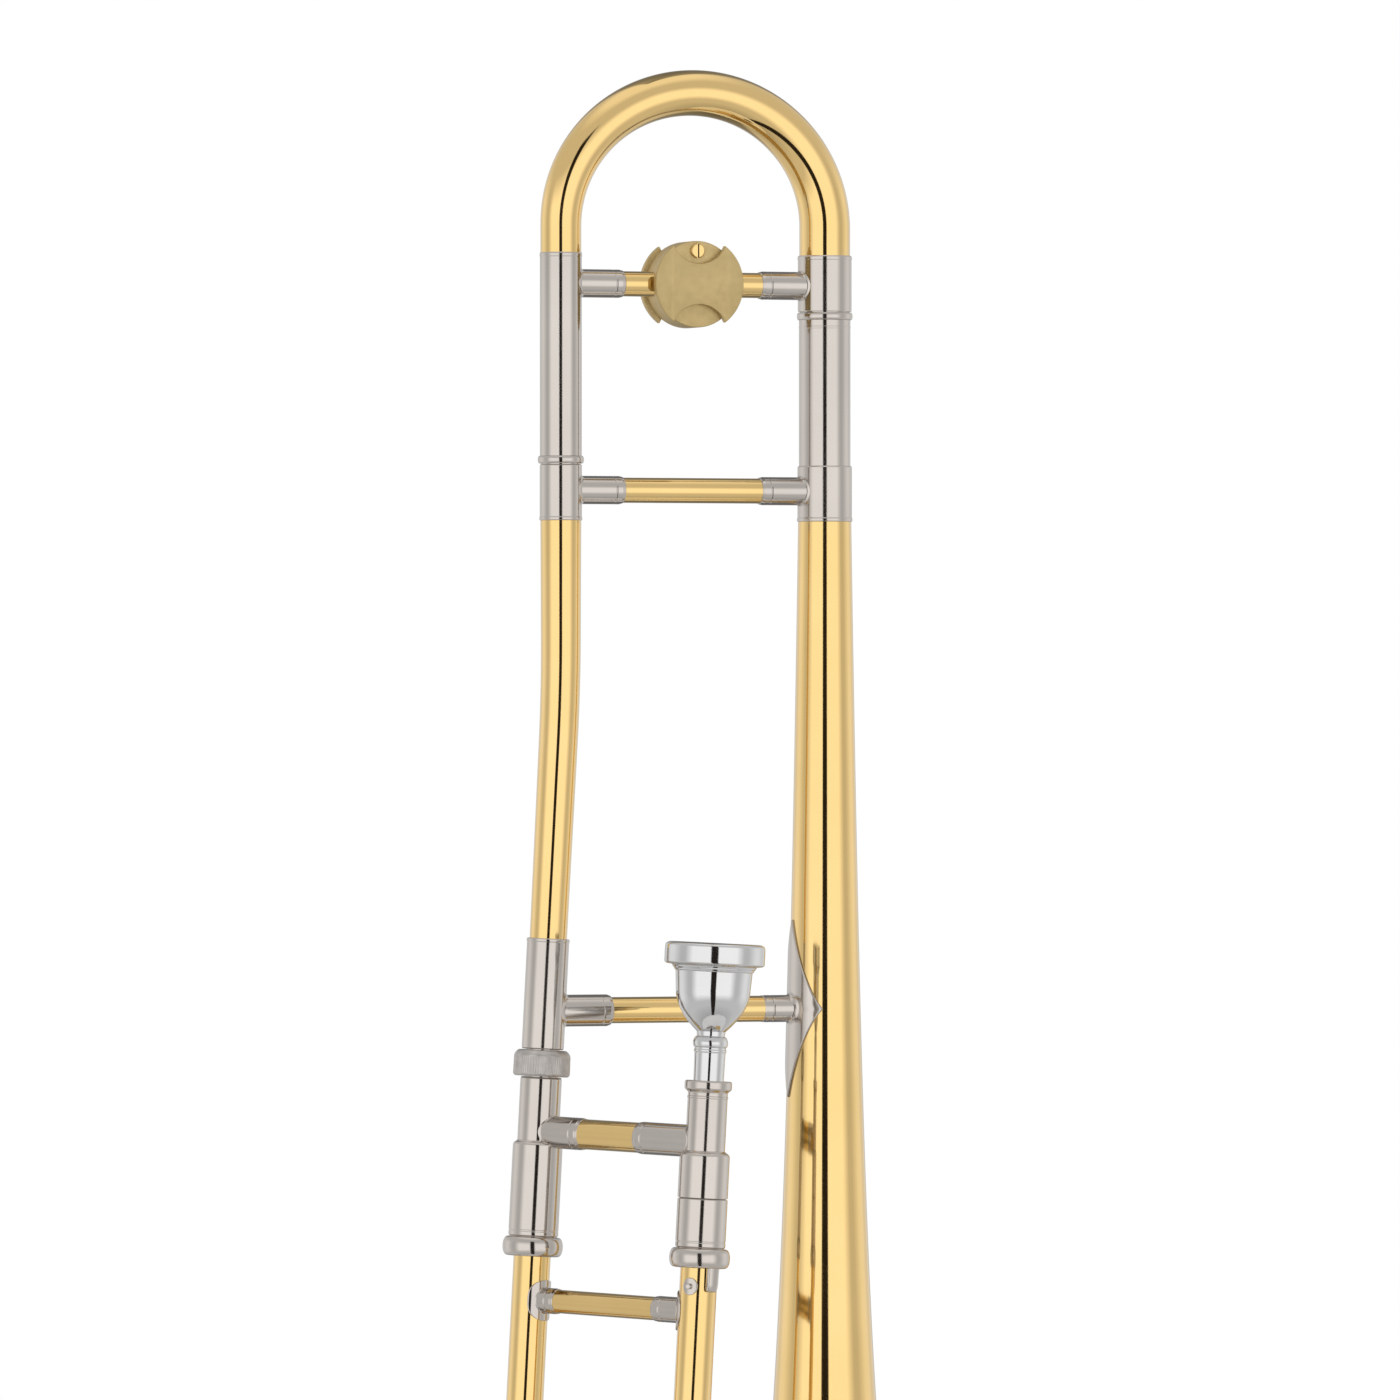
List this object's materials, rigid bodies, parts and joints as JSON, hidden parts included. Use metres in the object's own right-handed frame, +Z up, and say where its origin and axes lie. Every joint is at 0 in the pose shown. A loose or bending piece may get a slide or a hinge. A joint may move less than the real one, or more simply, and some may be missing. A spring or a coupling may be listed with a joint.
{
  "type": "tenor trombone",
  "caption": "Straight tenor trombone with a flared bell, a telescoping hand slide, a tuning slide with a counterweight, and a removable mouthpiece.",
  "frame": {"origin": "centre of the bell rim's plane", "axes": "+Z up the bell axis from the rim towards the tuning slide; the neckpipe and the hand slide stand on the -X side, and the mouthpiece stands on the -Y side"},
  "size_m": [0.2656, 0.2024, 1.143],
  "materials": {
    "lacquered_brass": "polished yellow brass under clear lacquer",
    "nickel_silver": "polished nickel silver",
    "bright_plate": "bright plated brass",
    "matte_brass": "matte lacquered cast brass",
    "cork": "natural cork",
    "rubber": "black rubber",
    "steel": "plain steel"
  },
  "bodies": {
    "bell_section": {"bell": "lacquered_brass", "bell_rim_wire": "lacquered_brass", "bell_ferrule": "nickel_silver", "bell_sleeve": "nickel_silver", "bell_sleeve_ring": "nickel_silver", "neckpipe": "lacquered_brass", "neck_upper_ferrule": "nickel_silver", "neck_inner_leg": "nickel_silver", "neck_lower_ferrule": "nickel_silver", "neck_tenon": "nickel_silver", "bell_brace_tube": "lacquered_brass", "bell_brace_neck_socket": "nickel_silver", "bell_brace_bell_socket": "nickel_silver", "lower_brace_tube": "lacquered_brass", "lower_brace_neck_socket": "nickel_silver", "bell_flange": "nickel_silver"},
    "lock_nut": {"lock_nut": "nickel_silver"},
    "tuning_slide": {"tuning_bow": "lacquered_brass", "bow_left_sleeve": "nickel_silver", "bow_left_ring": "nickel_silver", "bow_right_ferrule": "nickel_silver", "bow_right_leg": "nickel_silver", "bow_brace_tube": "lacquered_brass", "bow_brace_left_socket": "nickel_silver", "bow_brace_right_socket": "nickel_silver", "counterweight_front": "matte_brass", "counterweight_rear": "matte_brass", "counterweight_core": "matte_brass", "counterweight_screw": "lacquered_brass"},
    "inner_slide": {"slide_collar": "nickel_silver", "left_cork_barrel": "nickel_silver", "right_cork_barrel": "nickel_silver", "left_inner_tube": "bright_plate", "right_inner_tube": "bright_plate", "left_stocking": "bright_plate", "right_stocking": "bright_plate", "mouthpiece_receiver": "nickel_silver", "leadpipe": "lacquered_brass", "inner_brace_tube": "lacquered_brass", "inner_brace_left_socket": "nickel_silver", "inner_brace_right_socket": "nickel_silver", "barrel_corks": "cork"},
    "slide_lock": {"slide_lock_ring": "nickel_silver"},
    "mouthpiece": {"mouthpiece": "bright_plate"},
    "outer_slide": {"left_outer_tube": "lacquered_brass", "right_outer_tube": "lacquered_brass", "outer_brace_tube": "lacquered_brass", "left_outer_saddle": "nickel_silver", "right_outer_saddle": "nickel_silver", "lock_lug": "nickel_silver", "left_crook_ferrule": "nickel_silver", "right_crook_ferrule": "nickel_silver", "crook": "lacquered_brass", "bumper_cap": "nickel_silver", "bumper_rubber": "rubber", "water_key_nipple": "nickel_silver", "water_key_bracket": "nickel_silver", "water_key_pin": "steel"},
    "water_key": {"water_key_lever": "nickel_silver", "water_key_cork": "cork"}
  },
  "joints": [
    {"name": "tuning_slide_pull", "type": "slide", "parent": "bell_section", "child": "tuning_slide", "axis": [0, 0, 1], "range_m": [0, 0.045]},
    {"name": "lock_nut_turn", "type": "hinge", "parent": "bell_section", "child": "lock_nut", "pos_m": [-0.11858, 0, 0.319], "axis": [0.0541, 0, 0.9985], "range_deg": [0, 360]},
    {"name": "slide_swivel", "type": "hinge", "parent": "bell_section", "child": "inner_slide", "pos_m": [-0.11858, 0, 0.319], "axis": [0.0541, 0, 0.9985], "range_deg": [-70, 1]},
    {"name": "outer_slide_travel", "type": "slide", "parent": "inner_slide", "child": "outer_slide", "axis": [-0.0541, 0, -0.9985], "range_m": [0, 0.58]},
    {"name": "slide_lock_turn", "type": "hinge", "parent": "inner_slide", "child": "slide_lock", "pos_m": [-0.07716, -0.06632, 0.25667], "axis": [-0.0541, 0, -0.9985], "range_deg": [0, 35]},
    {"name": "mouthpiece_pull", "type": "slide", "parent": "inner_slide", "child": "mouthpiece", "axis": [0.0541, 0, 0.9985], "range_m": [0, 0.03]},
    {"name": "water_key_press", "type": "hinge", "parent": "outer_slide", "child": "water_key", "pos_m": [-0.12788, -0.06575, -0.39955], "axis": [-0.4565, 0.718, 0.5255], "range_deg": [0, 12], "stiffness_Nm_per_rad": 0.1, "springref_deg": -17.19}
  ]
}
